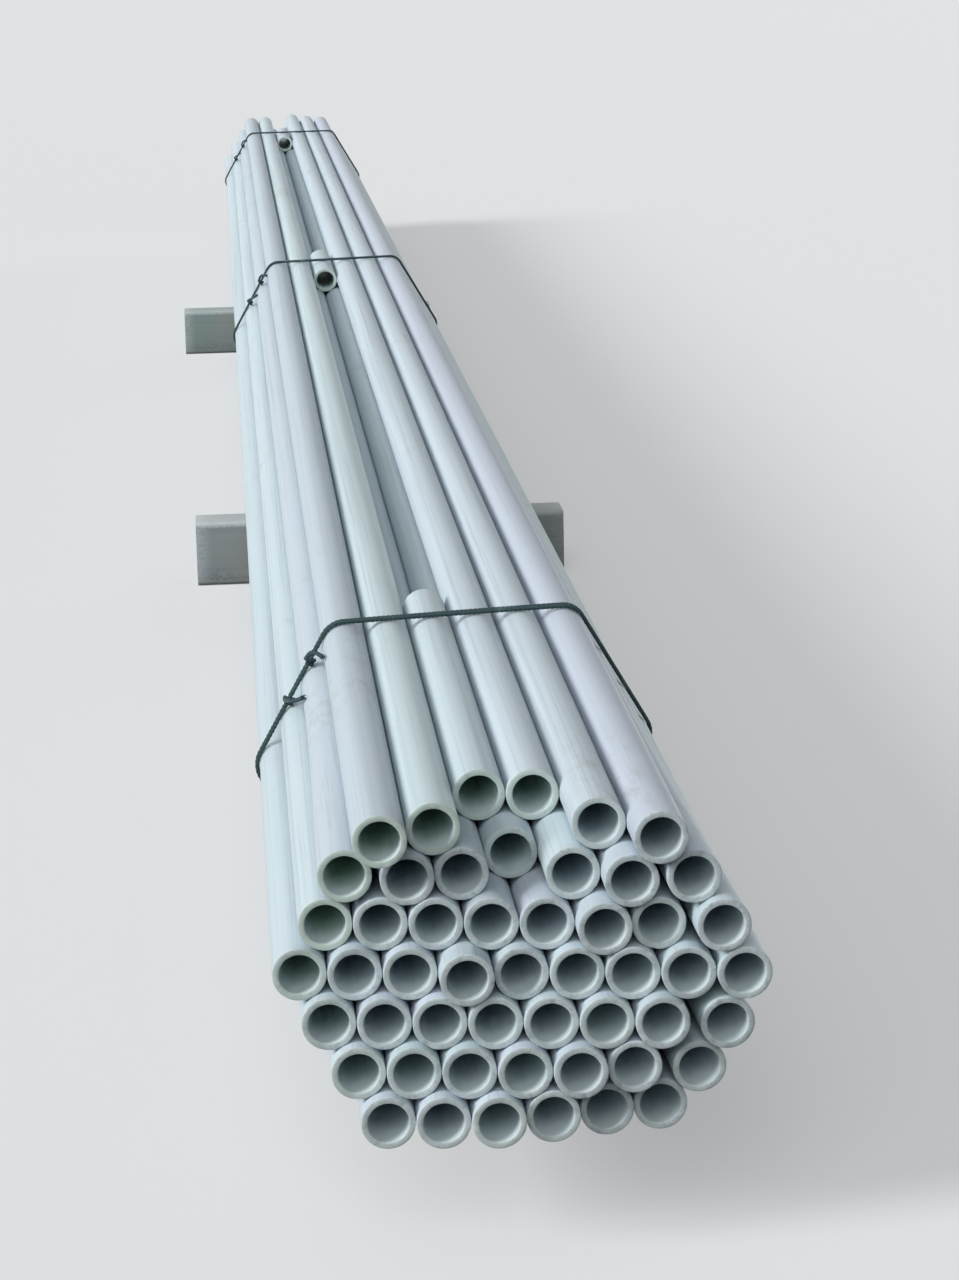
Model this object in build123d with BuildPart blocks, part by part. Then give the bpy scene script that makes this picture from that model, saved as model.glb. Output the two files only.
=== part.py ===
from build123d import *
from math import cos, radians, sin
import os

# A bundle of round composite pipes, tied in three places and lying on two battens.
# Millimetres. +Y runs along the pipes, away from the near end, and +Z is up.
# The origin is on the floor, below the middle of the whole bundle.

# Pipes
pipe_diameter = 34.0
pipe_wall = 4.0
pipe_length = 6000.0
pipe_clearance = 0.3

# The nest: its top and bottom rows, and how many rows it takes to reach the widest one
end_row_pipes = 6
rows_to_widest = 3
open_place = (1, 3)

# How the near ends stand: further back row by row upwards and pipe by pipe to the left,
# with some scatter, and a few pipes well out of line (row, place: distance)
end_lean = 6.5
end_skew = 3.4
end_scatter = 4.6
out_of_line = {
    (1, 1): -26.0,
    (1, 4): 74.0,
    (1, 6): -31.0,
    (2, 4): 43.0,
    (2, 6): -16.0,
    (2, 7): -15.0,
    (3, 6): -11.0,
    (3, 8): -12.0,
    (4, 4): -12.0,
    (6, 7): 10.0,
    (7, 5): 12.0,
    (7, 6): 21.0,
}

# Outer pipes whose near ends spring out of the nest, square to the slope that they lie in
# (row, place: distance), and how long the stretch is that bends
splay_length = 440.0
splay = {(2, 1): 5.0, (2, 7): 4.5, (3, 8): 4.5, (5, 8): 8.0, (6, 7): 8.0}

# Ties, each two turns of cord: how far the outer two are from the pipes' ends, how far the middle
# one is off the middle, and by how many degrees each is skewed
tie_from_end = 520.0
middle_tie_shift = -100.0
tie_skews = {"near": 9.0, "middle": 12.0, "far": 6.0}
cord_diameter = 3.5
cord_sides = 6
cord_clearance = 0.3
turn_gap = 0.3

# The hitches that close a tie (how many pipes down the slope: reach of the loose end), how deep
# they bite into the turns, and how far the loose ends bow out and climb back up the slope
hitches = {0.65: 54.0, 1.65: 66.0}
hitch_bite = 0.3
tail_bow = 3.0
tail_climb = 20.0

# Off-cuts under the ties, in the open place of the top row: how long they are, and how far they
# reach in front of their ties
filler_lengths = {"near": 528.0, "middle": 250.0, "far": 260.0}
filler_reaches = {"near": 429.0, "middle": 101.0, "far": 109.0}

# Battens
batten_length = 460.0
batten_width = 60.0
batten_height = 80.0
batten_wall = 5.0
batten_corner = 7.0
batten_shift = 15.0
batten_from_end = 2000.0

# What follows from the sizes above. In a nest of round pipes, the way square out of each slope is
# tilted 30 degrees up or down.
pipe_radius = pipe_diameter / 2
bore_radius = pipe_radius - pipe_wall
pitch = pipe_diameter + pipe_clearance
way_out_tilt = radians(30)
row_rise = pitch * cos(way_out_tilt)
middle_row = rows_to_widest + 1
row_count = 2 * rows_to_widest + 1
bottom_row_z = batten_height + pipe_clearance + pipe_radius
tie_stations = {
    "near": tie_from_end,
    "middle": pipe_length / 2 + middle_tie_shift,
    "far": pipe_length - tie_from_end,
}
batten_places = {
    "near": (batten_from_end, batten_shift),
    "far": (pipe_length - batten_from_end, -batten_shift),
}


def pipes_in(row):
    """How many places the row has; row 1 is the top one."""
    return end_row_pipes + rows_to_widest - abs(row - middle_row)


def across(row, place):
    """X of a place; place 1 is the leftmost, seen from the near end."""
    return (place - (pipes_in(row) + 1) / 2) * pitch


def height(row):
    """Z of the axes of a row's pipes."""
    return bottom_row_z + (row_count - row) * row_rise


def setback(row, place):
    """How far a pipe's near end stands back from where an even face would be."""
    lean = end_lean * (middle_row - row)
    skew = end_skew * across(row, place) / pitch
    scatter = end_scatter * ((9 * row + 10 * place + 6) % 11 / 5 - 1)
    return lean - skew + scatter + out_of_line.get((row, place), 0.0)


places = [
    (row, place)
    for row in range(1, row_count + 1)
    for place in range(1, pipes_in(row) + 1)
    if (row, place) != open_place
]
setbacks = [setback(row, place) for row, place in places]
near_face = -(pipe_length + min(setbacks) + max(setbacks)) / 2


def ring(x=0, z=0):
    """The section of a pipe, at a place across the bundle."""
    with Locations((x, z)):
        Circle(pipe_radius)
        Circle(bore_radius, mode=Mode.SUBTRACT)


def bent_pipe(row, place, start):
    """A full pipe that runs straight from its far end and bends outwards to its near end."""
    side = -1 if place == 1 else 1
    above = 1 if row < middle_row else -1
    out = Vector(side * cos(way_out_tilt), 0, above * sin(way_out_tilt))
    towards_near = Vector(0, -1, 0)
    bend_plane = Plane(
        origin=(across(row, place), start + splay_length, height(row)),
        x_dir=towards_near,
        z_dir=towards_near.cross(out),
    )
    shift = splay[row, place]
    bend_radius = (splay_length**2 + shift**2) / (2 * shift)
    with BuildLine(bend_plane) as axis:
        Line((splay_length - pipe_length, 0), (0, 0))
        RadiusArc((0, 0), (splay_length, shift), -bend_radius)
    path = axis.wire()
    with BuildSketch(Plane(origin=path @ 0, z_dir=path % 0)) as section:
        ring()
    sweep(sections=section.sketch, path=path)


def finish(built, name):
    """Names a finished piece and writes it."""
    built.part.label = name
    export_step(built.part, f"parts/{name}.step")


os.makedirs("parts", exist_ok=True)

# The full-length pipes, a row at a time
for row in range(1, row_count + 1):
    with BuildPart() as row_pipes:
        for place in range(1, pipes_in(row) + 1):
            if (row, place) == open_place:
                continue
            start = near_face + setback(row, place)
            if (row, place) in splay:
                bent_pipe(row, place, start)
                continue
            with BuildSketch(Plane.XZ.offset(-start)):
                ring(across(row, place), height(row))
            extrude(amount=-pipe_length)
    finish(row_pipes, f"pipes_row_{row}")

# The off-cuts that fill the open place under the ties
for name, length in filler_lengths.items():
    start = near_face + tie_stations[name] - filler_reaches[name]
    with BuildPart() as filler:
        with BuildSketch(Plane.XZ.offset(-start)):
            ring(across(*open_place), height(open_place[0]))
        extrude(amount=-length)
    finish(filler, f"filler_{name}")


def cord_along(path):
    """Sweeps the section of the cord, drawn with a few sides, along a path."""
    with BuildSketch(Plane(origin=path @ 0, z_dir=path % 0)) as section:
        RegularPolygon(cord_diameter / 2, cord_sides)
    sweep(sections=section.sketch, path=path)


def tie_plane(station, lean):
    """The plane that a turn of cord lies in: upright, and turned by its lean about Z."""
    return Plane(
        origin=(0, near_face + station, height(middle_row)),
        x_dir=(cos(lean), sin(lean), 0),
        z_dir=(sin(lean), -cos(lean), 0),
    )


# The ties. Each is drawn round the six corner pipes. Hitches in grooves of the upper left slope
# close it, and each hitch leaves a loose end, which lies over the pipes towards the near end.
turn_spacing = cord_diameter + turn_gap
hitch_radius = cord_diameter - hitch_bite
corner_places = [
    (1, 1),
    (1, pipes_in(1)),
    (middle_row, pipes_in(middle_row)),
    (row_count, pipes_in(row_count)),
    (row_count, 1),
    (middle_row, 1),
]
uphill = Vector(across(1, 1) - across(middle_row, 1), 0, height(1) - height(middle_row)).normalized()
outward = Vector(-uphill.Z, 0, uphill.X)
tail_way = Vector(0, -cos(radians(tail_climb)), 0) + uphill * sin(radians(tail_climb))

for name, station in tie_stations.items():
    lean = radians(tie_skews[name])
    corners = [
        (across(row, place) / cos(lean), height(row) - height(middle_row))
        for row, place in corner_places
    ]
    draw_radius = pipe_radius / cos(lean) + cord_clearance + cord_diameter / 2
    slope_top = Vector(corners[0])
    slope = Vector(corners[-1]) - slope_top
    lift = Vector(slope.Y, -slope.X).normalized() * draw_radius
    middle_plane = tie_plane(station, lean)

    with BuildPart() as tie:
        for side in (-1, 1):
            turn_plane = tie_plane(station + side * turn_spacing / 2 / cos(lean), lean)
            with BuildLine(turn_plane) as turn:
                Polyline(*corners, close=True)
                offset(amount=draw_radius, kind=Kind.ARC)
            cord_along(turn.wire())
        for pipes_down, reach in hitches.items():
            in_groove = slope_top + slope * (pipes_down / rows_to_widest)
            spot = middle_plane.from_local_coords(in_groove + lift)
            downhill = middle_plane.from_local_coords(slope) - middle_plane.origin
            hitch_plane = Plane(origin=spot, x_dir=outward.cross(downhill), z_dir=downhill)
            with BuildLine(hitch_plane) as hitch:
                Line((-turn_spacing / 2, 0), (turn_spacing / 2, 0))
                offset(amount=hitch_radius, kind=Kind.ARC)
            cord_along(hitch.wire())
            with BuildLine(Plane(origin=spot, x_dir=tail_way, z_dir=tail_way.cross(outward))) as tail:
                bow = (reach / 2, cord_diameter + tail_bow)
                ThreePointArc((0, cord_diameter / 2), bow, (reach, hitch_bite))
            cord_along(tail.wire())
    finish(tie, f"tie_{name}")

# The battens, rectangular box section laid across below the bundle
for name, (station, shift) in batten_places.items():
    with BuildPart() as batten:
        with BuildSketch(Plane.YZ.offset(shift - batten_length / 2)):
            with Locations((near_face + station, batten_height / 2)):
                RectangleRounded(batten_width, batten_height, batten_corner)
                RectangleRounded(
                    batten_width - 2 * batten_wall,
                    batten_height - 2 * batten_wall,
                    batten_corner - batten_wall,
                    mode=Mode.SUBTRACT,
                )
        extrude(amount=batten_length)
    finish(batten, f"batten_{name}")
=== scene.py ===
"""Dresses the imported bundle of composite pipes.

Fifty pipes and three off-cuts lie nested in seven rows, held by three ties of twisted cord, on two
battens of box section. Lengths are in metres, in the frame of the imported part: +Y runs along the
pipes, away from the near end, +Z is up, and the origin is on the floor below the bundle's middle.
"""

from __future__ import annotations

import logging
from collections.abc import Iterable, Iterator, Mapping, Sequence
from dataclasses import dataclass, field
from enum import Enum, IntEnum
from math import cos, hypot, pi, radians, sin, sqrt, tan, tau

import bmesh
import bpy
from mathutils import Matrix, Vector, noise


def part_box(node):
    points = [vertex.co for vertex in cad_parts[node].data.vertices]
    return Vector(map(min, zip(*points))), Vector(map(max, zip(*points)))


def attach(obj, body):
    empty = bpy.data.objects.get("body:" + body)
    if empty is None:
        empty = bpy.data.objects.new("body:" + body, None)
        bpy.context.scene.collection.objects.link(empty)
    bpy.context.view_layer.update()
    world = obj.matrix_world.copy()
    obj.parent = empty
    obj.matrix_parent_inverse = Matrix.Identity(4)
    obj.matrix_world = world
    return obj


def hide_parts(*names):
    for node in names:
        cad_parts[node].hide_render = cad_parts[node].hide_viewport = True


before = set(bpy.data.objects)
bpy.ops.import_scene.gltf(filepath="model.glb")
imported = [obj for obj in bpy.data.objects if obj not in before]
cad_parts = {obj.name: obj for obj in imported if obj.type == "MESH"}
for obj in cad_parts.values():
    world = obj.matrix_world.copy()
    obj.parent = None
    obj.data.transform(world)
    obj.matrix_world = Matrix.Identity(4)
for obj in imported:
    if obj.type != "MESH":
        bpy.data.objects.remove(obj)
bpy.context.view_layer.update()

log = logging.getLogger("bundle")

Colour = tuple[float, float, float]
Place = tuple[int, int]
Sockets = Mapping[str | int, object]


def shade(red: int, green: int, blue: int) -> Colour:
    """Turns a colour as a screen shows it, 0 to 255, into the linear one that a shader takes.

    Args:
        red: Its red.
        green: Its green.
        blue: Its blue.

    Returns:
        The linear colour.
    """

    def linear(value: int) -> float:
        """One channel, made linear."""
        part = value / 255
        return part / 12.92 if part <= 0.04045 else ((part + 0.055) / 1.055) ** 2.4

    return linear(red), linear(green), linear(blue)


# Shader graphs


@dataclass(frozen=True)
class Signal:
    """A value in a shader graph. Arithmetic on it adds Math nodes."""

    graph: Graph
    socket: bpy.types.NodeSocket

    def _math(self, operation: str, *values: Signal | float) -> Signal:
        """Adds a Math node, whose sockets take the values in order."""
        return self.graph.node(
            "ShaderNodeMath", {"operation": operation}, dict(enumerate(values))
        )

    def __add__(self, other: Signal | float) -> Signal:
        """This plus other."""
        return self._math("ADD", self, other)

    def __radd__(self, other: float) -> Signal:
        """Other plus this."""
        return self._math("ADD", other, self)

    def __sub__(self, other: Signal | float) -> Signal:
        """This less other."""
        return self._math("SUBTRACT", self, other)

    def __rsub__(self, other: float) -> Signal:
        """Other less this."""
        return self._math("SUBTRACT", other, self)

    def __mul__(self, other: Signal | float) -> Signal:
        """This times other."""
        return self._math("MULTIPLY", self, other)

    def __rmul__(self, other: float) -> Signal:
        """Other times this."""
        return self._math("MULTIPLY", other, self)

    def highest(self, other: Signal | float) -> Signal:
        """The higher of this and other."""
        return self._math("MAXIMUM", self, other)


class Graph:
    """A node tree, with one method that adds any node."""

    def __init__(self, owner: bpy.types.Material | bpy.types.World) -> None:
        """Empties the owner's node tree and keeps it.

        Args:
            owner: The material or world whose tree this is.
        """
        owner.use_nodes = True
        self.tree = owner.node_tree
        self.tree.nodes.clear()

    def node(
        self,
        kind: str,
        settings: Mapping[str, object] | None = None,
        inputs: Sockets | None = None,
        output: str | int = 0,
    ) -> Signal:
        """Adds a node, with its settings first and then the values or links of its sockets.

        Args:
            kind: The node's type.
            settings: Its settings by name.
            inputs: A value or a Signal for each socket, by name or number.
            output: The socket that is returned.

        Returns:
            The chosen output.
        """
        made = self.tree.nodes.new(kind)
        for name, value in (settings or {}).items():
            setattr(made, name, value)
        for key, value in (inputs or {}).items():
            if isinstance(value, Signal):
                self.tree.links.new(value.socket, made.inputs[key])
            else:
                made.inputs[key].default_value = value
        return Signal(self, made.outputs[output] if made.outputs else made.inputs[0])

    def place(self) -> Signal:
        """Where a point is, in metres in the part's frame."""
        return self.node("ShaderNodeTexCoord", output="Object")

    def attribute(self, name: str) -> Signal:
        """A number that the mesh carries."""
        return self.node("ShaderNodeAttribute", {"attribute_name": name}, output="Fac")

    def grain(
        self, place: Signal, scale: Sequence[float], detail: float, roughness: float
    ) -> Signal:
        """Soft noise.

        Args:
            place: The place that it is read at.
            scale: Features to the metre, each way.
            detail: How many finer layers it has.
            roughness: How strong those are.

        Returns:
            A value around 0.5.
        """
        scaled = self.node("ShaderNodeVectorMath", {"operation": "MULTIPLY"}, {0: place, 1: scale})
        inputs = {"Vector": scaled, "Scale": 1.0, "Detail": detail, "Roughness": roughness}
        return self.node("ShaderNodeTexNoise", inputs=inputs)

    def between(self, value: Signal, low: float, high: float) -> Signal:
        """A smooth step from 0 at low to 1 at high. Low may be above high."""
        return self.node(
            "ShaderNodeMapRange",
            {"interpolation_type": "SMOOTHSTEP"},
            {"Value": value, "From Min": low, "From Max": high},
        )

    def mix(
        self,
        share: Signal | float,
        first: Signal | Colour,
        second: Signal | Colour,
        blend: str = "MIX",
    ) -> Signal:
        """Mixes two colours.

        Args:
            share: How much of the second.
            first: A colour.
            second: The other colour.
            blend: How they are mixed.

        Returns:
            The mixed colour.
        """
        colours = [
            value if isinstance(value, Signal) else (*value, 1.0) for value in (first, second)
        ]
        return self.node(
            "ShaderNodeMix",
            {"data_type": "RGBA", "blend_type": blend},
            {0: share, 6: colours[0], 7: colours[1]},
            output=2,
        )

    def bump(self, height: Signal, distance: float, strength: float) -> Signal:
        """The normal of a relief whose height, 0 to 1, stands out by a distance in metres."""
        return self.node(
            "ShaderNodeBump",
            inputs={"Height": height, "Distance": distance, "Strength": strength},
        )

    def seen(self) -> Signal:
        """1 where the camera, a reflection or a look through something meets the surface."""
        rays = [
            self.node("ShaderNodeLightPath", output=f"Is {ray} Ray")
            for ray in ("Camera", "Glossy", "Transmission")
        ]
        return rays[0].highest(rays[1].highest(rays[2]))

    def surface(self, shader: Signal) -> None:
        """Sends a shader to the output."""
        kind = "World" if isinstance(self.tree.id_data, bpy.types.World) else "Material"
        self.node(f"ShaderNodeOutput{kind}", inputs={"Surface": shader})


class Finish:
    """A finish of one surface of the bundle. Each kind paints its own graph."""

    name: str = "finish"

    def paint(self, graph: Graph) -> Sockets:
        """Adds the finish's nodes.

        Args:
            graph: The material's graph.

        Returns:
            What the surface shader's sockets take.
        """
        raise NotImplementedError

    def material(self) -> bpy.types.Material:
        """Makes the finish's material.

        Returns:
            The new material.
        """
        made = bpy.data.materials.new(self.name)
        graph = Graph(made)
        graph.surface(graph.node("ShaderNodeBsdfPrincipled", inputs=self.paint(graph)))
        return made


@dataclass(frozen=True)
class DrawnSkin(Finish):
    """The outer surface of a pipe: pale and satin, with fine lines and faint dirt along it."""

    name: str = "drawn_skin"
    cool: Colour = shade(200, 209, 222)
    green: Colour = shade(197, 215, 219)
    line: Colour = shade(148, 160, 168)
    dirt: Colour = shade(160, 158, 150)
    aged: Colour = shade(150, 160, 170)

    def paint(self, graph: Graph) -> Sockets:
        """Adds the finish's nodes.

        Args:
            graph: The material's graph.

        Returns:
            What the surface shader's sockets take.
        """
        place = graph.place()
        wide = graph.grain(place, (130, 0.7, 130), 3, 0.55)
        fine = graph.grain(place, (620, 2.2, 620), 2, 0.6)
        hair = graph.grain(place, (2100, 9, 2100), 1, 0.5)
        patch = graph.grain(place, (9, 3.2, 9), 4, 0.6)
        scuff = graph.grain(place, (95, 38, 95), 5, 0.7)
        tone = graph.attribute("tone")

        body = graph.mix(graph.attribute("tint"), self.cool, self.green)
        lines = graph.between(wide, 0.5, 0.8) * 0.55 + graph.between(fine, 0.52, 0.78) * 0.5
        body = graph.mix(lines * (0.35 + 0.5 * tone), body, self.line)
        soiled = graph.between(patch, 0.52, 0.76) * graph.between(scuff, 0.42, 0.68)
        body = graph.mix(soiled * 0.42, body, self.dirt)
        body = graph.mix(graph.between(tone, 1.0, 0.0) * 0.14, body, self.aged, "MULTIPLY")
        relief = wide * 0.5 + fine * 0.3 + hair * 0.12 + scuff * 0.1
        return {
            "Base Color": body,
            "Roughness": 0.44 + 0.16 * fine + 0.2 * soiled,
            "Normal": graph.bump(relief, 0.00022, 0.55),
            "Specular IOR Level": 0.28,
        }


@dataclass(frozen=True)
class CutEdge(Finish):
    """The sawn end of a pipe's wall: matt, greenish on some, with fibre ends and saw marks."""

    name: str = "cut_edge"
    resin: Colour = shade(168, 181, 185)
    fibre: Colour = shade(204, 215, 218)
    smut: Colour = shade(118, 130, 134)
    warm: Colour = shade(186, 198, 192)
    green: Colour = shade(180, 200, 184)

    def paint(self, graph: Graph) -> Sockets:
        """Adds the finish's nodes.

        Args:
            graph: The material's graph.

        Returns:
            What the surface shader's sockets take.
        """
        place = graph.place()
        fibres = graph.grain(place, (2600, 400, 2600), 2, 0.6)
        blotch = graph.grain(place, (210, 60, 210), 4, 0.6)
        broad = graph.grain(place, (42, 12, 42), 2, 0.5)
        saw = graph.grain(place, (60, 60, 1500), 2, 0.5)
        body = graph.mix(graph.between(fibres, 0.38, 0.66), self.resin, self.fibre)
        body = graph.mix(graph.between(blotch, 0.5, 0.72) * 0.5, body, self.smut)
        body = graph.mix(graph.between(broad, 0.42, 0.66) * 0.35, body, self.smut)
        body = graph.mix(graph.between(graph.attribute("tone"), 0.3, 1.0) * 0.3, body, self.warm)
        body = graph.mix(graph.attribute("green") * 0.5, body, self.green)
        return {
            "Base Color": body,
            "Roughness": 0.62 + 0.2 * blotch,
            "Normal": graph.bump(fibres * 0.6 + saw * 0.5 + blotch * 0.4, 0.0002, 0.7),
            "IOR": 1.5,
        }


@dataclass(frozen=True)
class BoreWall(Finish):
    """A pipe's inside: the mould side of the wall, dull, with painted light paler at each mouth."""

    name: str = "bore_wall"
    # Painted light: the colour near each end of the bore, where light falls in
    lit_mouth: Colour = shade(200, 213, 216)
    slate: Colour = shade(193, 212, 221)
    # Partly the greener wall of some pipes, partly painted light: paler as if lit through the wall
    green: Colour = shade(205, 232, 219)
    streak: Colour = shade(132, 150, 158)
    mouth_depth: float = 0.05

    def paint(self, graph: Graph) -> Sockets:
        """Adds the finish's nodes.

        Args:
            graph: The material's graph.

        Returns:
            What the surface shader's sockets take.
        """
        place = graph.place()
        lines = graph.grain(place, (420, 3, 420), 3, 0.6)
        cloud = graph.grain(place, (90, 40, 90), 4, 0.6)
        # Painted light in part: a high green share makes the wall paler as well as greener
        inner = graph.mix(graph.attribute("green"), self.slate, self.green)
        inner = graph.mix(graph.between(lines, 0.45, 0.75) * 0.3, inner, self.streak)
        depth = graph.attribute("depth") + (cloud - 0.5) * 0.012
        # Painted light: the wall turns to the paler mouth colour within a few centimetres of each
        # end
        body = graph.mix(graph.between(depth, self.mouth_depth, 0.0), inner, self.lit_mouth)
        return {
            "Base Color": body,
            "Roughness": 0.5 + 0.2 * cloud,
            "Normal": graph.bump(lines * 0.6 + cloud * 0.3, 0.0003, 0.6),
            "IOR": 1.5,
        }


@dataclass(frozen=True)
class DarkCord(Finish):
    """The cord of the ties: twisted, dark grey-green and a little worn in patches."""

    name: str = "dark_cord"
    deep: Colour = shade(38, 56, 58)
    body: Colour = shade(66, 90, 93)
    worn: Colour = shade(112, 132, 134)

    def paint(self, graph: Graph) -> Sockets:
        """Adds the finish's nodes.

        Args:
            graph: The material's graph.

        Returns:
            What the surface shader's sockets take.
        """
        place = graph.place()
        fluff = graph.grain(place, (2400, 2400, 2400), 3, 0.6)
        length = graph.grain(place, (38, 38, 38), 3, 0.6)
        body = graph.mix(graph.between(fluff, 0.35, 0.65), self.deep, self.body)
        body = graph.mix(graph.between(length, 0.52, 0.74) * 0.55, body, self.worn)
        return {
            "Base Color": body,
            "Roughness": 0.66 + 0.2 * fluff,
            "Normal": graph.bump(fluff, 0.00025, 0.8),
            "Specular IOR Level": 0.3,
        }


@dataclass(frozen=True)
class BattenSkin(Finish):
    """A batten's surface: grey or greenish, dust and painted light on top, rubbed corners paler."""

    name: str = "batten_skin"
    grey: Colour = shade(140, 147, 152)
    green: Colour = shade(126, 143, 141)
    warm: Colour = shade(142, 146, 139)
    streak: Colour = shade(112, 122, 125)
    rubbed: Colour = shade(186, 194, 197)
    dust_and_top_light: Colour = shade(194, 199, 200)
    mud: Colour = shade(96, 98, 94)

    def paint(self, graph: Graph) -> Sockets:
        """Adds the finish's nodes.

        Args:
            graph: The material's graph.

        Returns:
            What the surface shader's sockets take.
        """
        place = graph.place()
        lines = graph.grain(place, (3, 330, 330), 3, 0.6)
        cloud = graph.grain(place, (16, 16, 16), 4, 0.6)
        speck = graph.grain(place, (260, 260, 260), 4, 0.7)
        level = graph.node("ShaderNodeSeparateXYZ", inputs={0: place}, output="Z")
        facing = graph.node("ShaderNodeNewGeometry", output="Normal")
        upward = graph.node("ShaderNodeSeparateXYZ", inputs={0: facing}, output="Z")

        green = graph.attribute("green")
        body = graph.mix(green, self.grey, self.green)
        body = graph.mix(graph.between(cloud, 0.42, 0.64) * 0.6, body, self.warm)
        body = graph.mix(graph.between(lines, 0.48, 0.75) * 0.4, body, self.streak)
        # Dust and painted light: the faces that look up are paler, as where light falls on top
        top = graph.between(upward, 0.35, 0.9)
        body = graph.mix(top * (0.55 + 0.5 * cloud) * (1 - 0.5 * green), body, self.dust_and_top_light)
        splash = graph.between(level + (cloud - 0.5) * 0.05, 0.026, 0.004)
        body = graph.mix(splash * graph.between(speck, 0.4, 0.62) * 0.7, body, self.mud)
        rub = graph.attribute("rub") * graph.between(speck, 0.3, 0.68)
        body = graph.mix(rub * 0.5, body, self.rubbed)
        return {
            "Base Color": body,
            "Roughness": 0.5 + 0.25 * cloud - 0.1 * rub,
            "Normal": graph.bump(lines * 0.4 + speck * 0.3 + cloud * 0.2, 0.0004, 0.5),
            "IOR": 1.5,
        }


@dataclass(frozen=True)
class PaleFloor(Finish):
    """The plain floor of the studio."""

    name: str = "pale_floor"
    pale: Colour = shade(190, 192, 193)
    bounced: Colour = shade(84, 84, 84)
    glow: Colour = shade(150, 151, 152)

    def paint(self, graph: Graph) -> Sockets:
        """Adds the finish's nodes.

        Args:
            graph: The material's graph.

        Returns:
            What the surface shader's sockets take.
        """
        seen = graph.seen()
        return {
            "Base Color": graph.mix(seen, self.bounced, self.pale),
            "Roughness": 0.9,
            "Specular IOR Level": 0.1,
            "Emission Color": graph.mix(seen, (0.0, 0.0, 0.0), self.glow),
            "Emission Strength": 1.0,
        }


# Pieces


def put(name: str, data: bpy.types.ID) -> bpy.types.Object:
    """Puts an object in the scene.

    Args:
        name: Its name.
        data: The mesh, curve, light or camera that it holds.

    Returns:
        The object.
    """
    made = bpy.data.objects.new(name, data)
    bpy.context.scene.collection.objects.link(made)
    return made


def mesh_of(shape: bmesh.types.BMesh, name: str) -> bpy.types.Mesh:
    """Turns a shape into a mesh.

    Args:
        shape: The shape, which is freed.
        name: The mesh's name.

    Returns:
        The mesh.
    """
    mesh = bpy.data.meshes.new(name)
    shape.to_mesh(mesh)
    shape.free()
    return mesh


def rounded(
    shape: bmesh.types.BMesh, items: Sequence[object], offset: float, affect: str, segments: int
) -> None:
    """Rounds corners or edges of a shape.

    Args:
        shape: The shape.
        items: The corners or edges.
        offset: How far the rounding reaches.
        affect: VERTICES for corners or EDGES for edges.
        segments: How many faces it has across.
    """
    bmesh.ops.bevel(
        shape,
        geom=items,
        offset=offset,
        offset_type="OFFSET",
        affect=affect,
        segments=segments,
        profile=0.5,
        material=-1,
    )


class Slot(Enum):
    """The record's material slots."""

    PIPE = "pipe"
    BATTEN = "batten"
    CORD = "cord"


@dataclass
class Piece:
    """A finished mesh on its way to its CAD body."""

    name: str
    slot: Slot
    stands_for: Sequence[str]
    sharp_above: float = 48.0

    def finish(
        self, mesh: bpy.types.Mesh, materials: Iterable[bpy.types.Material]
    ) -> bpy.types.Object:
        """Puts a mesh in the scene in place of its CAD nodes.

        Args:
            mesh: The mesh, in the part's frame.
            materials: Its materials, in the order of its faces' numbers.

        Returns:
            The piece's object.
        """
        mesh.name = self.name
        for material in materials:
            mesh.materials.append(material)
        mesh.shade_smooth()
        mesh.set_sharp_from_angle(angle=radians(self.sharp_above))
        piece = put(self.name, mesh)
        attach(piece, "root")
        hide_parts(*self.stands_for)
        triangles = sum(len(face.vertices) - 2 for face in mesh.polygons)
        log.info("%s: %d triangles, for %s", self.name, triangles, ", ".join(self.stands_for))
        return piece


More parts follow.
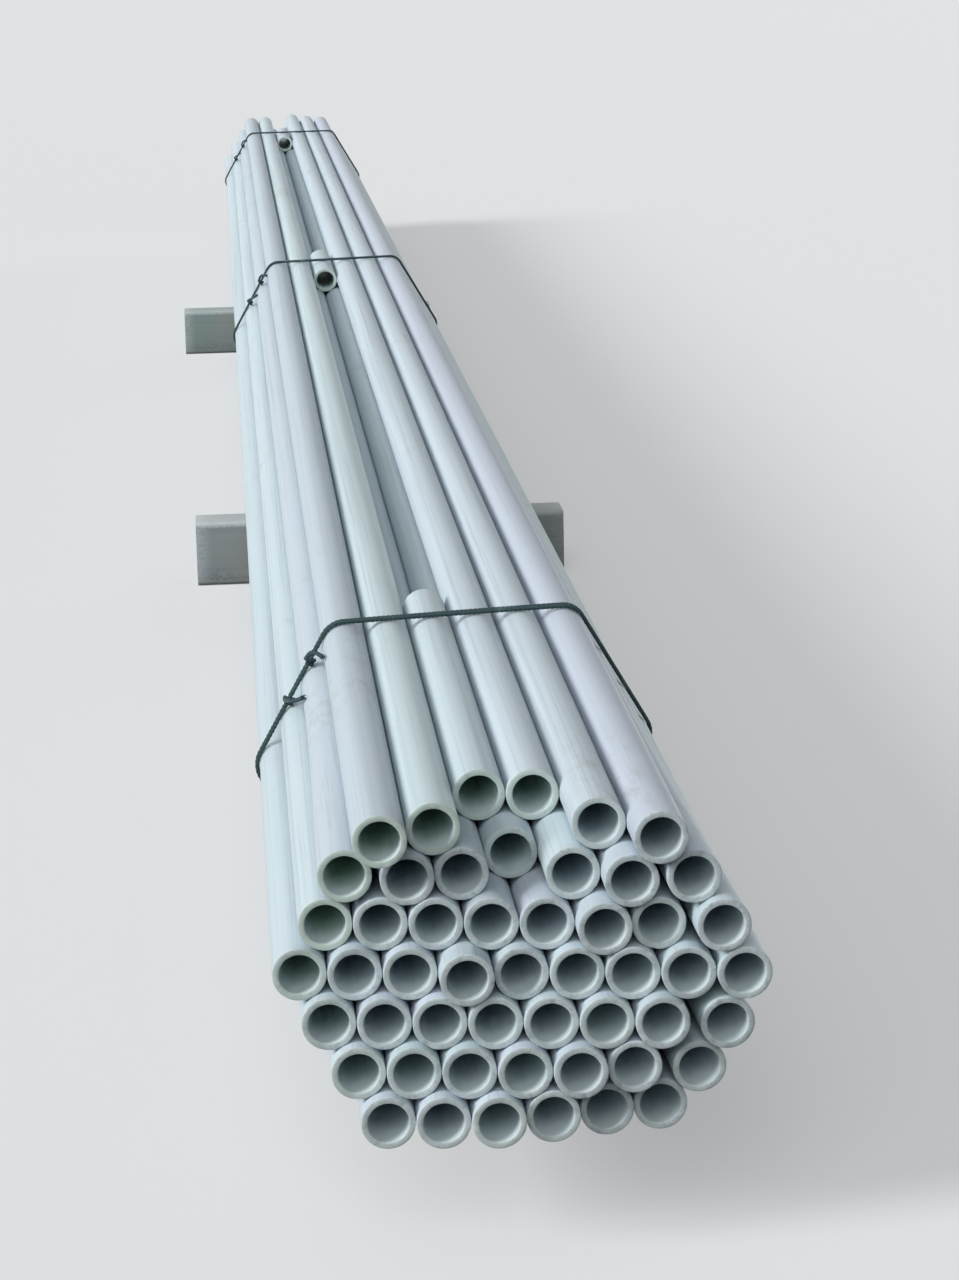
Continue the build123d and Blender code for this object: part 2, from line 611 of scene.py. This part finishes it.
@dataclass(frozen=True)
class Nest:
    """How the pipes lie: seven rows nested as a hexagon, with their near ends out of line.

    Row 1 is the top one, and place 1 is the leftmost, seen from the near end.
    """

    radius: float = 0.017
    wall: float = 0.004
    length: float = 6.0
    clearance: float = 0.0003
    end_row_pipes: int = 6
    rows_to_widest: int = 3
    open_place: Place = (1, 3)
    bottom_height: float = 0.0973
    end_lean: float = 0.0065
    end_skew: float = 0.0034
    end_scatter: float = 0.0046
    out_of_line: Mapping[Place, float] = field(
        default_factory=lambda: {
            (1, 1): -0.026, (1, 4): 0.074, (1, 6): -0.031,
            (2, 4): 0.043, (2, 6): -0.016, (2, 7): -0.015,
            (3, 6): -0.011, (3, 8): -0.012, (4, 4): -0.012,
            (6, 7): 0.010, (7, 5): 0.012, (7, 6): 0.021,
        }
    )
    splay_length: float = 0.44
    splay: Mapping[Place, float] = field(
        default_factory=lambda: {
            (2, 1): 0.005, (2, 7): 0.0045, (3, 8): 0.0045, (5, 8): 0.008, (6, 7): 0.008,
        }
    )

    @property
    def pitch(self) -> float:
        """From one pipe's axis to the next one's."""
        return 2 * self.radius + self.clearance

    @property
    def middle_row(self) -> int:
        """The widest row."""
        return self.rows_to_widest + 1

    @property
    def row_count(self) -> int:
        """How many rows there are."""
        return 2 * self.rows_to_widest + 1

    def pipes_in(self, row: int) -> int:
        """How many places a row has."""
        return self.end_row_pipes + self.rows_to_widest - abs(row - self.middle_row)

    def across(self, place: Place) -> float:
        """X of a place."""
        return (place[1] - (self.pipes_in(place[0]) + 1) / 2) * self.pitch

    def height(self, row: int) -> float:
        """Z of the axes of a row's pipes."""
        return self.bottom_height + (self.row_count - row) * self.pitch * sqrt(3) / 2

    def places(self) -> Iterator[Place]:
        """The places that full pipes lie in.

        Yields:
            Each one's row and number.
        """
        for row in range(1, self.row_count + 1):
            for place in range(1, self.pipes_in(row) + 1):
                if (row, place) != self.open_place:
                    yield row, place

    def setback(self, place: Place) -> float:
        """How far a pipe's near end stands back from an even face.

        Args:
            place: The pipe's place.

        Returns:
            The distance along Y.
        """
        row, number = place
        lean = self.end_lean * (self.middle_row - row)
        skew = self.end_skew * self.across(place) / self.pitch
        scatter = self.end_scatter * ((9 * row + 10 * number + 6) % 11 / 5 - 1)
        return lean - skew + scatter + self.out_of_line.get(place, 0.0)

    def way_out(self, place: Place) -> Vector:
        """How far, and which way, a pipe's near end springs out of the nest.

        Args:
            place: The pipe's place.

        Returns:
            The shift of its near end, square to the slope that it lies in.
        """
        side = -1 if place[1] == 1 else 1
        above = 1 if place[0] < self.middle_row else -1
        tilt = radians(30)
        return Vector((side * cos(tilt), 0, above * sin(tilt))) * self.splay.get(place, 0.0)

    @property
    def near_face(self) -> float:
        """Y of where an even near face would be."""
        setbacks = [self.setback(place) for place in self.places()]
        return -(self.length + min(setbacks) + max(setbacks)) / 2


class Wall(IntEnum):
    """Which surface of a pipe a face is on; the number of its material."""

    SKIN = 0
    CUT = 1
    BORE = 2


class Draw(IntEnum):
    """Which of a pipe's own numbers is meant. The far end's follow the near end's."""

    TONE = 1
    TINT = 2
    SAW_WAY = 3
    SAW_LEAN = 5


PIPE_NUMBERS = ("tone", "tint", "green", "depth")


@dataclass
class Tube:
    """One length of pipe, turned from the section of its wall."""

    nest: Nest
    place: Place
    start: float
    length: float
    seed: float
    green: float = 0.0
    splay: Vector = field(default_factory=Vector)
    bend_steps: int = 10
    sides: int = 56
    edge: float = 0.0005
    tilt: float = 0.014
    saw_reach: float = 0.00125
    saw_waves: float = 260.0
    saw_wander: float = 0.00022
    chips_above: float = 0.42
    chip_steepness: float = 2.4
    chip_depth: float = 0.0011
    chip_slant: float = 0.5
    bore_steps: tuple[float, ...] = (0.002, 0.009, 0.018, 0.03, 0.05, 0.09, 0.16)

    def __post_init__(self) -> None:
        """Finds where its axis is."""
        self.x, self.z = self.nest.across(self.place), self.nest.height(self.place[0])

    def _outline(self) -> list[tuple[float, float]]:
        """The section of the wall, once round.

        Returns:
            The radius of each point and its distance along the pipe.
        """
        outer, inner = self.nest.radius, self.nest.radius - self.nest.wall
        edge, soft = self.edge, self.edge * 0.3
        inside = [along for along in self.bore_steps if along < self.length / 2]
        steps = range(1, self.bend_steps + 1) if self.splay.length else ()
        bends = [self.nest.splay_length * step / self.bend_steps for step in steps]
        # Each cut edge is rounded in two steps, and one more ring keeps its shading to itself
        outer_end = [(outer - edge, 0.0), (outer - soft, soft), (outer, edge), (outer, 4 * edge)]
        inner_end = [(inner + edge, 0.0), (inner + soft, soft), (inner, edge)]
        skin = outer_end + [(outer, along) for along in bends]
        bore = inner_end + [(inner, along) for along in sorted((*inside, *bends))]
        far = [(radius, self.length - along) for radius, along in reversed(outer_end)]
        far += [(radius, self.length - along) for radius, along in inner_end]
        far += [(inner, self.length - along) for along in inside]
        return skin + far + bore[::-1]

    def add_to(self, shape: bmesh.types.BMesh) -> None:
        """Turns the pipe into a mesh.

        Args:
            shape: The mesh that it is added to.
        """
        layers = {name: shape.verts.layers.float[name] for name in PIPE_NUMBERS}
        known_verts, known_faces = set(shape.verts), set(shape.faces)
        ring = [
            shape.verts.new((self.x + radius, self.start + along, self.z))
            for radius, along in self._outline()
        ]
        edges = [shape.edges.new(pair) for pair in zip(ring, ring[1:] + ring[:1])]
        bmesh.ops.spin(
            shape,
            geom=[*ring, *edges],
            cent=(self.x, 0, self.z),
            axis=(0, 1, 0),
            angle=tau,
            steps=self.sides,
            use_merge=True,
        )
        verts = [vert for vert in shape.verts if vert not in known_verts]
        faces = [face for face in shape.faces if face not in known_faces]
        bmesh.ops.recalc_face_normals(shape, faces=faces)

        tone, tint = self._number(Draw.TONE), self._number(Draw.TINT)
        middle = self.nest.radius - self.nest.wall / 2
        for vert in verts:
            along = vert.co.y - self.start
            vert[layers["tone"]] = tone
            vert[layers["tint"]] = tint
            vert[layers["green"]] = self.green
            vert[layers["depth"]] = min(along, self.length - along)
        for face in faces:
            centre = face.calc_center_median()
            along = centre.y - self.start
            radius = hypot(centre.x - self.x, centre.z - self.z)
            if min(along, self.length - along) < self.edge:
                face.material_index = Wall.CUT
            else:
                face.material_index = Wall.SKIN if radius > middle else Wall.BORE
        self._saw(verts)
        if self.splay.length:
            self._bend(verts)

    def _bend(self, verts: Iterable[bmesh.types.BMVert]) -> None:
        """Bends the stretch next to the near end outwards.

        Args:
            verts: The pipe's points.
        """
        reach = self.nest.splay_length
        for vert in verts:
            left = 1 - (vert.co.y - self.start) / reach
            if left > 0:
                outwards = Vector((vert.co.x - self.x, 0, vert.co.z - self.z)).dot(self.splay)
                vert.co += self.splay * left**2
                vert.co.y += outwards * 2 * left / reach

    def _number(self, which: int) -> float:
        """A number from 0 to 1 that is this pipe's own."""
        return (sin(self.seed * 12.9898 + which * 78.233) * 43758.5453) % 1.0

    def _saw(self, verts: Iterable[bmesh.types.BMVert]) -> None:
        """Makes the two ends as a saw leaves them: a little out of square, wavy and chipped.

        Args:
            verts: The pipe's points.
        """
        for vert in verts:
            along = vert.co.y - self.start
            far = along > self.length / 2
            if min(along, self.length - along) > self.saw_reach:
                continue
            sideways, upward = vert.co.x - self.x, vert.co.z - self.z
            radius = hypot(sideways, upward)
            turn = self._number(Draw.SAW_WAY + far) * tau
            share = self._number(Draw.SAW_LEAN + far)
            lean = (sideways * cos(turn) + upward * sin(turn)) * self.tilt * share
            # Each end of each pipe reads its own part of the noise
            waves = self.saw_waves
            spot = Vector((sideways * waves, upward * waves, self.seed * 7.3 + 50 * far))
            wander = noise.noise(spot) * self.saw_wander
            rough = noise.noise(spot * 0.9 + Vector((0, 0, 31)))
            nick = max(0.0, rough - self.chips_above) * self.chip_steepness
            inward = nick * self.chip_depth * (radius > self.nest.radius - 2 * self.edge)
            vert.co.y += (lean + wander) + (-inward if far else inward)
            shrink = 1 - self.chip_slant * inward / radius
            vert.co.x = self.x + sideways * shrink
            vert.co.z = self.z + upward * shrink


@dataclass
class PipeWork:
    """The pipes, a row at a time, and the off-cuts."""

    nest: Nest
    off_cuts: Mapping[str, tuple[float, float]] = field(
        default_factory=lambda: {
            "near": (0.091, 0.528),
            "middle": (2.799, 0.25),
            "far": (5.371, 0.26),
        }
    )
    # Green share by pipe; in the bore it also paints light coming through the wall
    green_and_lit_bores: Mapping[Place, float] = field(
        default_factory=lambda: {
            (1, 1): 1.0, (1, 2): 0.75, (1, 4): 0.6, (2, 1): 1.0, (2, 4): 0.3,
            (3, 1): 0.9, (4, 1): 0.6, (5, 1): 0.3, (5, 6): 0.2,
            (6, 1): 0.35, (6, 2): 0.3, (6, 4): 0.2, (7, 3): 0.2,
        }
    )
    off_cut_green_and_lit: float = 0.8
    seeds_per_row: int = 16
    off_cut_seeds: int = 200

    def _piece(
        self, name: str, node: str, tubes: Iterable[Tube], materials: Iterable[bpy.types.Material]
    ) -> None:
        """Makes the piece of some tubes.

        Args:
            name: The piece's name.
            node: The CAD node that it stands for.
            tubes: The lengths of pipe in it.
            materials: The skin, the cut edge and the bore wall.
        """
        shape = bmesh.new()
        for number in PIPE_NUMBERS:
            shape.verts.layers.float.new(number)
        for tube in tubes:
            tube.add_to(shape)
        Piece(name, Slot.PIPE, [node]).finish(mesh_of(shape, name), materials)

    def build(self) -> None:
        """Makes every row and off-cut and dresses them."""
        materials = [finish.material() for finish in (DrawnSkin(), CutEdge(), BoreWall())]
        nest = self.nest
        for row in range(1, nest.row_count + 1):
            tubes = [
                Tube(
                    nest,
                    place,
                    nest.near_face + nest.setback(place),
                    nest.length,
                    seed=row * self.seeds_per_row + place[1],
                    green=self.green_and_lit_bores.get(place, 0.0),
                    splay=nest.way_out(place),
                )
                for place in nest.places()
                if place[0] == row
            ]
            self._piece(f"row_{row}", f"pipes_row_{row}", tubes, materials)
        for number, (name, (reach, length)) in enumerate(self.off_cuts.items()):
            start, seed = nest.near_face + reach, self.off_cut_seeds + number
            tube = Tube(nest, nest.open_place, start, length, seed, self.off_cut_green_and_lit)
            self._piece(f"off_cut_{name}", f"filler_{name}", [tube], materials)


@dataclass(frozen=True)
class Strand:
    """A run of cord: its line, its thickness, and how much thicker its very end is."""

    line: list[Vector]
    thickness: float = 1.0
    swelling: float = 0.0
    swollen_from: float = 0.95

    def thickness_at(self, share: float) -> float:
        """How thick the run is at a share of its length."""
        beyond = max(0.0, share - self.swollen_from) / (1 - self.swollen_from)
        return self.thickness + self.swelling * beyond


@dataclass
class Tie:
    """A tie: two turns of twisted cord round the bundle, hitched on its upper left slope."""

    nest: Nest
    name: str
    station: float
    skew: float
    cord: float = 0.0035
    clearance: float = 0.0003
    gap: float = 0.0003
    parting: float = 0.0016
    part_waves: float = 3.2
    loosening: float = 9.0
    step: float = 0.001
    twist: float = 0.011
    strands: int = 3
    lobe_offset: float = 0.24
    lobe_radius: float = 0.26
    lobe_points: int = 5
    hitches: Mapping[float, float] = field(default_factory=lambda: {0.65: 0.054, 1.65: 0.066})
    wraps: float = 1.25
    wrap_steps: int = 12
    wrap_width: float = 1.45
    wrap_height: float = 0.95
    tail_rises: tuple[tuple[float, float], ...] = (
        (0.1, 1.0), (0.26, 1.5), (0.46, 1.6), (0.68, 1.1), (0.86, 0.5), (1.0, 0.2),
    )
    tail_climb: float = 20.0
    tail_waves: float = 0.8
    tail_wander: float = 0.0022
    tail_swelling: float = 0.18
    frayed: float = 0.006
    yarns: int = 11
    yarn_thickness: float = 0.17
    yarn_turn: float = 2.4
    yarn_root: float = 0.2
    yarn_tip: float = 0.42
    yarn_bow: float = 0.12

    @property
    def lean(self) -> float:
        """The tie's turn about Z, in radians."""
        return radians(self.skew)

    @property
    def lift(self) -> float:
        """From the axis of a corner pipe to the middle of the cord, in the tie's plane."""
        return self.nest.radius / cos(self.lean) + self.clearance + self.cord / 2

    def _spot(self, across: float, rise: float, along: float = 0.0) -> Vector:
        """A point of the tie's upright plane, in the part's frame.

        Args:
            across: Its place across the plane.
            rise: Its height above the middle row.
            along: How far it is moved along the pipes.

        Returns:
            The point.
        """
        return Vector(
            (
                across * cos(self.lean),
                self.nest.near_face + self.station + across * sin(self.lean) + along,
                self.nest.height(self.nest.middle_row) + rise,
            )
        )

    def _corners(self) -> list[Vector]:
        """The axes of the six corner pipes.

        Returns:
            Points of the tie's plane, from the top left, clockwise.
        """
        nest = self.nest
        last, widest = nest.row_count, nest.middle_row
        rightmost = [(row, nest.pipes_in(row)) for row in (1, widest, last)]
        places = [(1, 1), *rightmost, (last, 1), (widest, 1)]
        level = nest.height(widest)
        return [
            Vector((nest.across(place) / cos(self.lean), nest.height(place[0]) - level))
            for place in places
        ]

    def _turn(self) -> list[Vector]:
        """One turn in the tie's plane, from the middle of the upper left slope and back to it.

        Returns:
            Points of the plane, evenly spaced.
        """
        corners, lift = self._corners(), self.lift
        normals = []
        for here, there in zip(corners, corners[1:] + corners[:1]):
            way = (there - here).normalized()
            normals.append(Vector((-way.y, way.x)))
        knots: list[tuple[Vector, Vector]] = []
        for number, corner in enumerate(corners):
            for normal in (normals[number - 1], normals[number]):
                knots.append((corner + normal * lift, Vector((normal.y, -normal.x))))
        middle = (corners[-1] + corners[0]) / 2 + normals[-1] * lift
        way = Vector((normals[-1].y, -normals[-1].x))
        knots = [(middle, way), *knots, (middle + way * self.cord, way)]

        curve = bpy.data.curves.new("turn", "CURVE")
        curve.dimensions = "2D"
        curve.resolution_u = 16
        spline = curve.splines.new("BEZIER")
        spline.bezier_points.add(len(knots) - 1)
        # Straight runs and arcs of 60 degrees take turns. A run's handles are a third of it.
        arc = 4 / 3 * tan(radians(15)) * lift
        for number, (point, (spot, way)) in enumerate(zip(spline.bezier_points, knots)):
            ends_run = number % 2 == 1
            run = (spot - knots[number - 1 if ends_run else number + 1][0]).length / 3
            before, after = (run, arc) if ends_run else (arc, run)
            point.co = spot.to_3d()
            point.handle_left = (spot - way * before).to_3d()
            point.handle_right = (spot + way * after).to_3d()
        return even_points(read_line(curve), self.step)

    def _strands(self) -> list[Strand]:
        """The two turns, the hitches and the loose ends.

        Returns:
            Each of them as a run of cord.
        """
        turn = self._turn()
        lengths = len(turn) - 1
        found = []
        for side in (-1, 1):
            line = []
            for number, spot in enumerate(turn):
                share = number / lengths
                away = self.cord / 2 + self.gap / 2 + self.parting * self._parting(share, side)
                line.append(self._spot(spot.x, spot.y, side * away / cos(self.lean)))
            found.append(Strand(line))
        for pipes_down, reach in self.hitches.items():
            found += self._hitch(pipes_down, reach)
        return found

    def _parting(self, share: float, side: int) -> float:
        """How far apart the turns wander, 0 where the hitches hold them.

        Args:
            share: The place along the turn.
            side: Which of the turns.

        Returns:
            A share of the widest parting.
        """
        held = min(1.0, min(share, 1 - share) * self.loosening)
        waves = 0.5 + 0.5 * sin(share * tau * self.part_waves + self.skew + side)
        return held * waves

    def _hitch(self, pipes_down: float, reach: float) -> list[Strand]:
        """A hitch round both turns, in a groove of the slope, and its loose end.

        Args:
            pipes_down: How many pipes down the slope it is.
            reach: How far the loose end comes.

        Returns:
            The wraps and the loose end as one run, and its frayed yarns.
        """
        corners = self._corners()
        top, slope = corners[0], corners[-1] - corners[0]
        out = Vector((slope.y, -slope.x)).normalized()
        centre = top + slope * (pipes_down / self.nest.rows_to_widest) + out * self.lift
        spot = self._spot(centre.x, centre.y)
        down = (self._spot(*slope) - self._spot(0, 0)).normalized()
        uphill = Vector((-slope.x * cos(self.lean), 0, -slope.y)).normalized()
        outward = Vector((-uphill.z, 0, uphill.x))
        sideways = outward.cross(down).normalized()
        climb = radians(self.tail_climb)
        tail_way = Vector((0, -cos(climb), 0)) + uphill * sin(climb)
        tail_side = tail_way.cross(outward)

        wide = self.cord * self.wrap_width + self.gap
        high = self.cord * self.wrap_height
        count = int(self.wraps * self.wrap_steps)
        route = []
        for number in range(count + 1):
            angle = number / self.wrap_steps * tau - pi / 2
            along = (number / count - 0.5) * self.cord * self.wraps
            route.append(
                spot
                + down * along
                + sideways * (wide * cos(angle))
                + outward * (high * sin(angle))
            )
        leave, phase = route[-1].lerp(spot, 0.5), pipes_down * 3
        for share, rise in self.tail_rises:
            sway = sin(share * tau * self.tail_waves + phase) - sin(phase)
            route.append(
                leave
                + tail_way * (reach * share)
                + outward * (self.cord * rise)
                + tail_side * (self.tail_wander * sway)
            )
        line = even_points(read_line(nurbs(route)), self.step)
        tail = Strand(line, swelling=self.tail_swelling)
        return [tail, *self._frayed_end(line, outward)]

    def _frayed_end(self, line: Sequence[Vector], outward: Vector) -> list[Strand]:
        """The yarns that stand out of a cut end.

        Args:
            line: The run of cord that they end.
            outward: The way off the pipes.

        Returns:
            The yarns.
        """
        end, way = line[-1], (line[-1] - line[-6]).normalized()
        side = way.cross(outward).normalized()
        found = []
        for number in range(self.yarns):
            angle = number * self.yarn_turn
            apart = side * cos(angle) + outward * sin(angle)
            longer = 0.6 + 0.4 * sin(number * 1.7)
            root = end - way * self.step + apart * (self.yarn_root * self.cord)
            tip = end + way * (self.frayed * longer) + apart * (self.yarn_tip * self.cord)
            bend = (root + tip) / 2 + apart * (self.yarn_bow * self.cord)
            found.append(Strand([root, bend, tip], thickness=self.yarn_thickness))
        return found

    def build(self, material: bpy.types.Material) -> None:
        """Makes the tie's cord and dresses it.

        Args:
            material: The cord's finish.
        """
        curve = bpy.data.curves.new(self.name, "CURVE")
        curve.dimensions = "3D"
        curve.use_fill_caps = True
        curve.bevel_mode = "OBJECT"
        section = self._section()
        curve.bevel_object = section
        for strand in self._strands():
            spline = curve.splines.new("POLY")
            spline.points.add(len(strand.line) - 1)
            travelled = 0.0
            for number, (point, spot) in enumerate(zip(spline.points, strand.line)):
                if number:
                    travelled += (spot - strand.line[number - 1]).length
                point.co = (*spot, 1.0)
                point.tilt = travelled / self.twist % 1.0 * tau
                point.radius = strand.thickness_at(number / (len(strand.line) - 1))
        mesh = solid_of(curve)
        bpy.data.objects.remove(section)
        face_outwards(mesh)
        piece = Piece(f"cord_{self.name}", Slot.CORD, [f"tie_{self.name}"], sharp_above=70)
        piece.finish(mesh, [material])

    def _section(self) -> bpy.types.Object:
        """The cord's section: three strands laid together.

        Returns:
            A curve object of it.
        """
        curve = bpy.data.curves.new("cord_section", "CURVE")
        curve.dimensions = "2D"
        spline = curve.splines.new("POLY")
        offset, strand = self.lobe_offset * self.cord, self.lobe_radius * self.cord
        each = self.lobe_points
        spline.points.add(self.strands * each - 1)
        for number, point in enumerate(spline.points):
            lobe, step = divmod(number, each)
            angle = (step / each - 0.5) * tau / self.strands
            reach = offset * cos(angle) + sqrt(strand**2 - (offset * sin(angle)) ** 2)
            turn = lobe * tau / self.strands + angle
            point.co = (reach * cos(turn), reach * sin(turn), 0.0, 1.0)
        spline.use_cyclic_u = True
        return put("cord_section", curve)


def nurbs(points: Sequence[Vector]) -> bpy.types.Curve:
    """A smooth curve that follows points.

    Args:
        points: The points.

    Returns:
        The curve.
    """
    curve = bpy.data.curves.new("route", "CURVE")
    curve.dimensions = "3D"
    curve.resolution_u = 12
    spline = curve.splines.new("NURBS")
    spline.points.add(len(points) - 1)
    for point, spot in zip(spline.points, points):
        point.co = (*spot, 1.0)
    spline.use_endpoint_u = True
    spline.order_u = 3
    return curve


def solid_of(curve: bpy.types.Curve) -> bpy.types.Mesh:
    """The mesh that Blender makes of a curve.

    Args:
        curve: The curve, which is removed.

    Returns:
        The mesh.
    """
    holder = put(curve.name, curve)
    graph = bpy.context.evaluated_depsgraph_get()
    mesh = bpy.data.meshes.new_from_object(holder.evaluated_get(graph))
    bpy.data.objects.remove(holder)
    bpy.data.curves.remove(curve)
    return mesh


def face_outwards(mesh: bpy.types.Mesh) -> None:
    """Joins a mesh's doubled points and turns its faces outwards.

    Args:
        mesh: The mesh, made of closed forms.
    """
    shape = bmesh.new()
    shape.from_mesh(mesh)
    bmesh.ops.remove_doubles(shape, verts=shape.verts, dist=1e-7)
    bmesh.ops.recalc_face_normals(shape, faces=shape.faces)
    shape.to_mesh(mesh)
    shape.free()


def read_line(curve: bpy.types.Curve) -> list[Vector]:
    """The points along a curve that has no thickness.

    Args:
        curve: The curve, which is removed.

    Returns:
        Its points in order.
    """
    mesh = solid_of(curve)
    points = [vert.co.copy() for vert in mesh.vertices]
    bpy.data.meshes.remove(mesh)
    return points


def even_points(line: Sequence[Vector], step: float) -> list[Vector]:
    """Points along a line at even distances.

    Args:
        line: The line's own points.
        step: About how far apart the new ones are.

    Returns:
        The new points, with both ends of the line.
    """
    reaches = [0.0]
    for here, there in zip(line, line[1:]):
        reaches.append(reaches[-1] + (there - here).length)
    count = max(2, round(reaches[-1] / step))
    found, at = [], 0
    for number in range(count + 1):
        goal = reaches[-1] * number / count
        while at < len(line) - 2 and reaches[at + 1] < goal:
            at += 1
        span = reaches[at + 1] - reaches[at]
        share = (goal - reaches[at]) / span if span else 0.0
        found.append(line[at].lerp(line[at + 1], share))
    return found


@dataclass
class Batten:
    """A batten: a length of rectangular box section, laid across below the bundle."""

    name: str
    length: float = 0.46
    width: float = 0.06
    height: float = 0.08
    wall: float = 0.005
    corner: float = 0.007
    edge: float = 0.0008
    stretches: int = 24
    green: float = 0.0

    def build(self, material: bpy.types.Material) -> None:
        """Makes the batten and dresses it.

        Args:
            material: Its finish.
        """
        low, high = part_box(f"batten_{self.name}")
        shape = bmesh.new()
        rub = shape.verts.layers.float.new("rub")
        green = shape.verts.layers.float.new("green")
        bmesh.ops.create_grid(shape, x_segments=1, y_segments=1, size=0.5)
        bmesh.ops.scale(shape, vec=(self.width, self.height, 1), verts=shape.verts)
        rounded(shape, shape.verts[:], self.corner, "VERTICES", 6)
        bmesh.ops.inset_region(
            shape,
            faces=shape.faces[:],
            thickness=self.wall,
            use_boundary=True,
            use_even_offset=True,
        )
        core = min(shape.faces, key=lambda face: face.calc_center_median().length)
        bmesh.ops.delete(shape, geom=[core], context="FACES_ONLY")
        walls = bmesh.ops.extrude_face_region(shape, geom=shape.faces[:])
        ends = [item for item in walls["geom"] if isinstance(item, bmesh.types.BMVert)]
        bmesh.ops.translate(shape, vec=(0, 0, self.length), verts=ends)
        bmesh.ops.recalc_face_normals(shape, faces=shape.faces[:])
        rims = [
            edge
            for edge in shape.edges
            if edge.is_manifold and edge.calc_face_angle() > radians(60)
        ]
        rounded(shape, rims, self.edge, "EDGES", 2)
        for number in range(1, self.stretches):
            bmesh.ops.bisect_plane(
                shape,
                geom=[*shape.verts, *shape.edges, *shape.faces],
                plane_co=(0, 0, self.length * number / self.stretches),
                plane_no=(0, 0, 1),
            )
        for vert in shape.verts:
            side, other = sorted(
                (self.width / 2 - abs(vert.co.x), self.height / 2 - abs(vert.co.y))
            )
            end = min(vert.co.z, self.length - vert.co.z)
            near_corner = side < self.wall / 2 and other < self.corner
            vert[rub] = 1.0 if near_corner or end < 2 * self.edge else 0.0
            vert[green] = self.green
        place = Matrix.Translation((low.x, (low.y + high.y) / 2, self.height / 2))
        turn = Matrix(((0, 0, 1, 0), (1, 0, 0, 0), (0, 1, 0, 0), (0, 0, 0, 1)))
        bmesh.ops.transform(shape, matrix=place @ turn, verts=shape.verts)
        stands_for = [f"batten_{self.name}"]
        piece = Piece(f"support_{self.name}", Slot.BATTEN, stands_for, sharp_above=40)
        piece.finish(mesh_of(shape, self.name), [material])


# Studio


@dataclass(frozen=True)
class Lamp:
    """A soft distant lamp: its power, how wide it looks in degrees, and where it shines from."""

    name: str
    power: float
    spread: float
    source: tuple[float, float, float]

    def build(self) -> None:
        """Makes the lamp."""
        data = bpy.data.lights.new(self.name, "SUN")
        data.energy = self.power
        data.angle = radians(self.spread)
        aim = Vector(self.source).to_track_quat("Z", "Y")
        put(self.name, data).rotation_euler = aim.to_euler()


@dataclass
class Studio:
    """The pale floor, the soft light and the camera."""

    floor_size: float = 240.0
    sky: float = 0.15
    backdrop: Colour = shade(225, 227, 229)
    lamps: Sequence[Lamp] = (
        Lamp("key", 2.8, 22.0, (-0.95, -0.3, 0.5)),
        Lamp("front_fill", 1.15, 40.0, (-0.3, -1.0, 0.8)),
        Lamp("back_fill", 1.1, 16.0, (0.85, 0.85, 0.1)),
    )
    camera_at: Vector = field(default_factory=lambda: Vector((-0.1660, -4.8289, 0.8408)))
    heading: float = 4.584
    down: float = 13.739
    roll: float = -1.170
    lens: float = 86.58
    sensor: float = 36.0
    view_reach: float = 400.0

    def build(self) -> None:
        """Makes the floor, the light and the camera."""
        self._floor()
        self._light()
        self._camera()

    def _floor(self) -> None:
        """Makes the floor."""
        shape = bmesh.new()
        bmesh.ops.create_grid(shape, x_segments=1, y_segments=1, size=self.floor_size / 2)
        mesh = mesh_of(shape, "floor")
        mesh.materials.append(PaleFloor().material())
        put("floor", mesh)

    def _light(self) -> None:
        """Makes the sky and the lamps."""
        world = bpy.data.worlds.new("studio")
        bpy.context.scene.world = world
        graph = Graph(world)
        glow = graph.node("ShaderNodeBackground", inputs={0: (1, 1, 1, 1), 1: self.sky})
        pale = graph.node("ShaderNodeBackground", inputs={0: (*self.backdrop, 1), 1: 1.0})
        graph.surface(graph.node("ShaderNodeMixShader", inputs={0: graph.seen(), 1: glow, 2: pale}))
        for lamp in self.lamps:
            lamp.build()

    def _camera(self) -> None:
        """Makes the camera, with its lens and direction."""
        data = bpy.data.cameras.new("camera")
        data.sensor_width = self.sensor
        data.lens = self.lens
        data.clip_end = self.view_reach
        camera = put("camera", data)
        aim = (
            Matrix.Rotation(radians(-self.heading), 4, "Z")
            @ Matrix.Rotation(radians(90 - self.down), 4, "X")
            @ Matrix.Rotation(radians(self.roll), 4, "Z")
        )
        camera.matrix_world = Matrix.Translation(self.camera_at) @ aim
        bpy.context.scene.camera = camera
        bpy.context.scene.view_settings.view_transform = "Standard"


def main() -> None:
    """Builds the bundle's pieces in order, then the studio."""
    logging.basicConfig(level=logging.INFO, format="%(name)s: %(message)s")
    nest = Nest()
    PipeWork(nest).build()
    cord = DarkCord().material()
    for name, station, skew in (("near", 0.52, 9.0), ("middle", 2.9, 12.0), ("far", 5.48, 6.0)):
        Tie(nest, name, station, skew).build(cord)
    batten = BattenSkin().material()
    for name, green in (("near", 0.15), ("far", 0.9)):
        Batten(name, green=green).build(batten)
    Studio().build()


if __name__ == "__main__":
    main()
